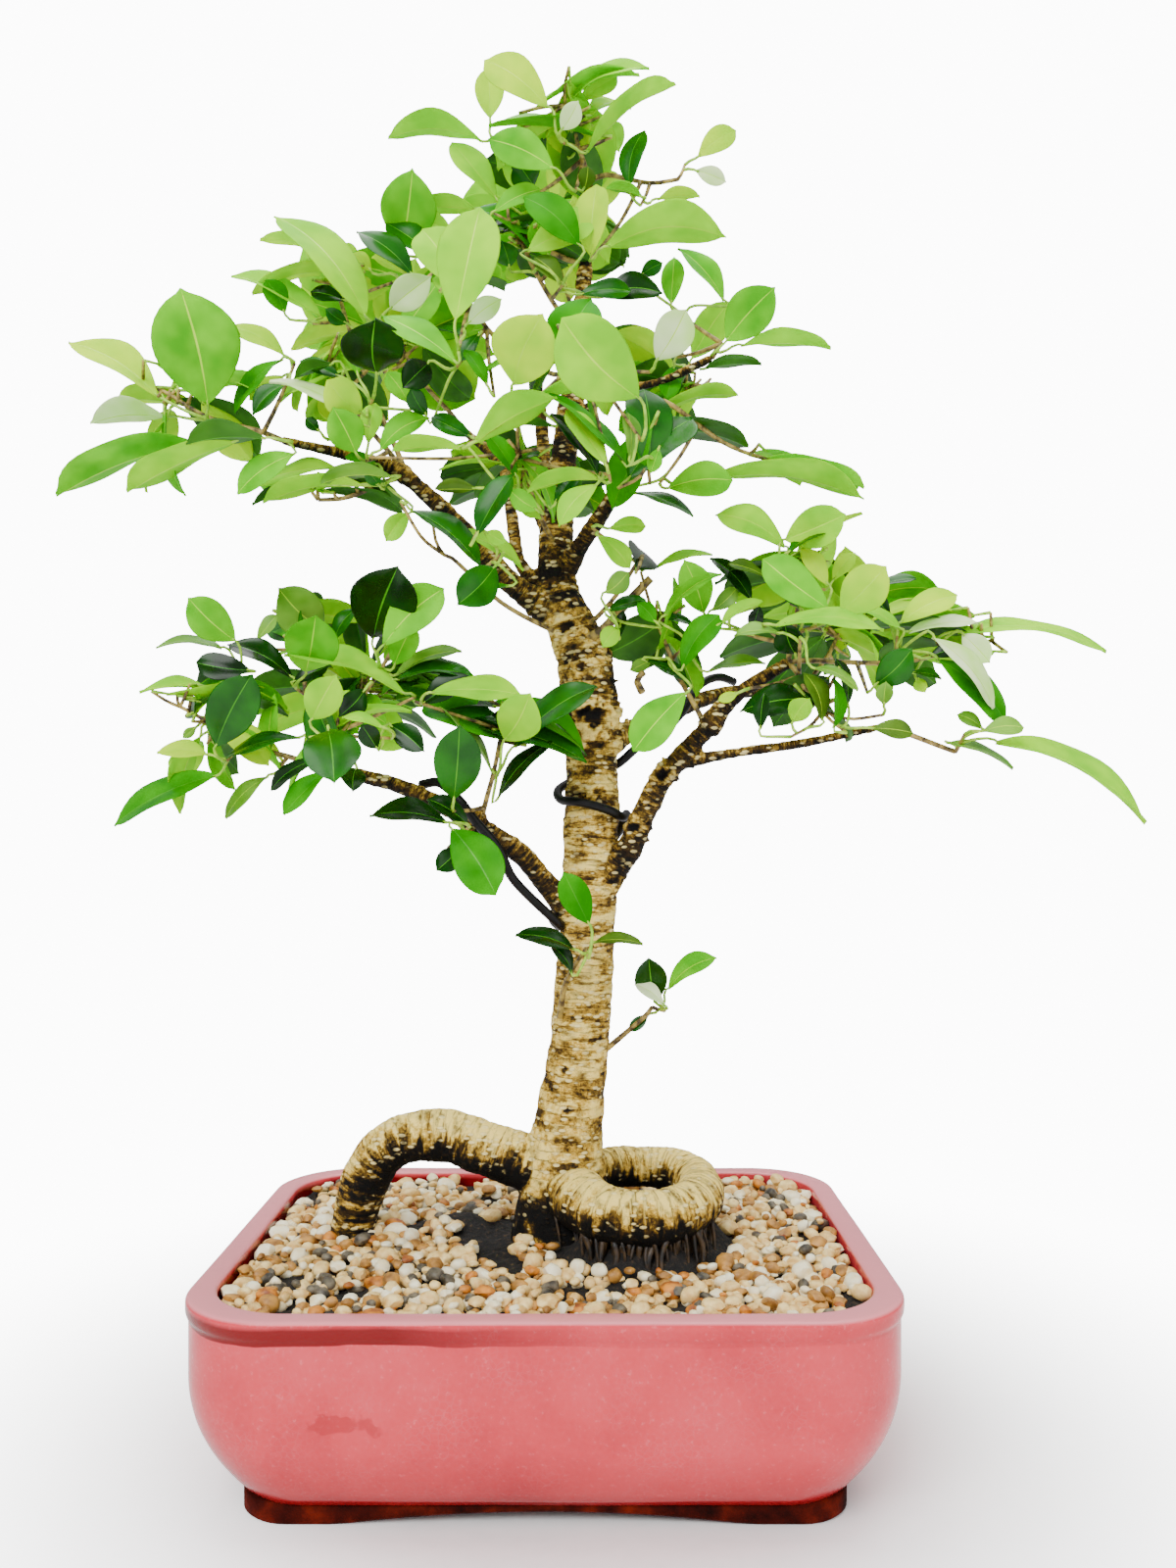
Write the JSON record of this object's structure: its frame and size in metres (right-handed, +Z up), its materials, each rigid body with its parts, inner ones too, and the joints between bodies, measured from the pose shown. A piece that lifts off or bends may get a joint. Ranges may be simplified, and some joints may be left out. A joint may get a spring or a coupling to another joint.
{
  "type": "ficus bonsai in a glazed pot",
  "caption": "Potted indoor bonsai tree with a leaning trunk, looping surface roots, wired boughs and open pads of broad glossy leaves in a low rectangular glazed pot.",
  "frame": {"origin": "middle of the whole plant's box at the level of the surface that the pot stands on", "axes": "+Z up; -Y is the front, where the long side of the pot faces; +X to the right of the front view"},
  "size_m": [0.4309, 0.2091, 0.5667],
  "materials": {
    "rose_glaze": "glossy crackle glaze",
    "unglazed_clay": "matt fired clay",
    "potting_soil": "crumbly",
    "river_gravel": "smooth pebbles",
    "ficus_bark": "warty bark",
    "ficus_leaf": "waxy leaf",
    "black_wire": "black anodised"
  },
  "bodies": {
    "root": {"apex_foliage": "ficus_leaf", "apex_left_foliage": "ficus_leaf", "apex_right_foliage": "ficus_leaf", "back_left_foliage": "ficus_leaf", "back_low_foliage": "ficus_leaf", "back_right_foliage": "ficus_leaf", "back_top_foliage": "ficus_leaf", "crown_centre_foliage": "ficus_leaf", "crown_inner_left": "ficus_bark", "crown_left_bough": "ficus_bark", "crown_left_branch": "ficus_bark", "crown_rear_bough": "ficus_bark", "crown_rear_left": "ficus_bark", "crown_right_bough": "ficus_bark", "crown_right_branch": "ficus_bark", "far_left_foliage": "ficus_leaf", "front_low_foliage": "ficus_leaf", "front_middle_foliage": "ficus_leaf", "front_trunk_sprig": "ficus_leaf", "front_upper_foliage": "ficus_leaf", "gravel_dressing": "river_gravel", "left_bough": "ficus_bark", "left_bough_outer": "ficus_bark", "left_inner_foliage": "ficus_leaf", "left_low_foliage": "ficus_leaf", "left_pad_back": "ficus_leaf", "left_pad_crest": "ficus_leaf", "left_pad_front": "ficus_leaf", "left_pad_inner": "ficus_leaf", "left_pad_low": "ficus_leaf", "left_pad_tip": "ficus_leaf", "left_pad_top": "ficus_leaf", "left_root_arch": "ficus_bark", "left_root_leg": "ficus_bark", "low_left_foliage": "ficus_leaf", "low_right_foliage": "ficus_leaf", "pot_body": "rose_glaze", "pot_foot": "unglazed_clay", "rear_right_bough": "ficus_bark", "right_bough": "ficus_bark", "right_inner_foliage": "ficus_leaf", "right_low_branch": "ficus_bark", "right_middle_foliage": "ficus_leaf", "right_pad_back": "ficus_leaf", "right_pad_inner": "ficus_leaf", "right_pad_outer": "ficus_leaf", "right_pad_tip": "ficus_leaf", "right_pad_top": "ficus_leaf", "right_pad_under": "ficus_leaf", "right_root_back": "ficus_bark", "right_root_bend": "ficus_bark", "right_root_front": "ficus_bark", "right_top_foliage": "ficus_leaf", "right_trunk_sprig": "ficus_leaf", "right_upper_branch": "ficus_bark", "soil": "potting_soil", "training_wire": "black_wire", "trunk": "ficus_bark", "twin_stem": "ficus_bark", "upper_left_foliage": "ficus_leaf"}
  },
  "joints": []
}
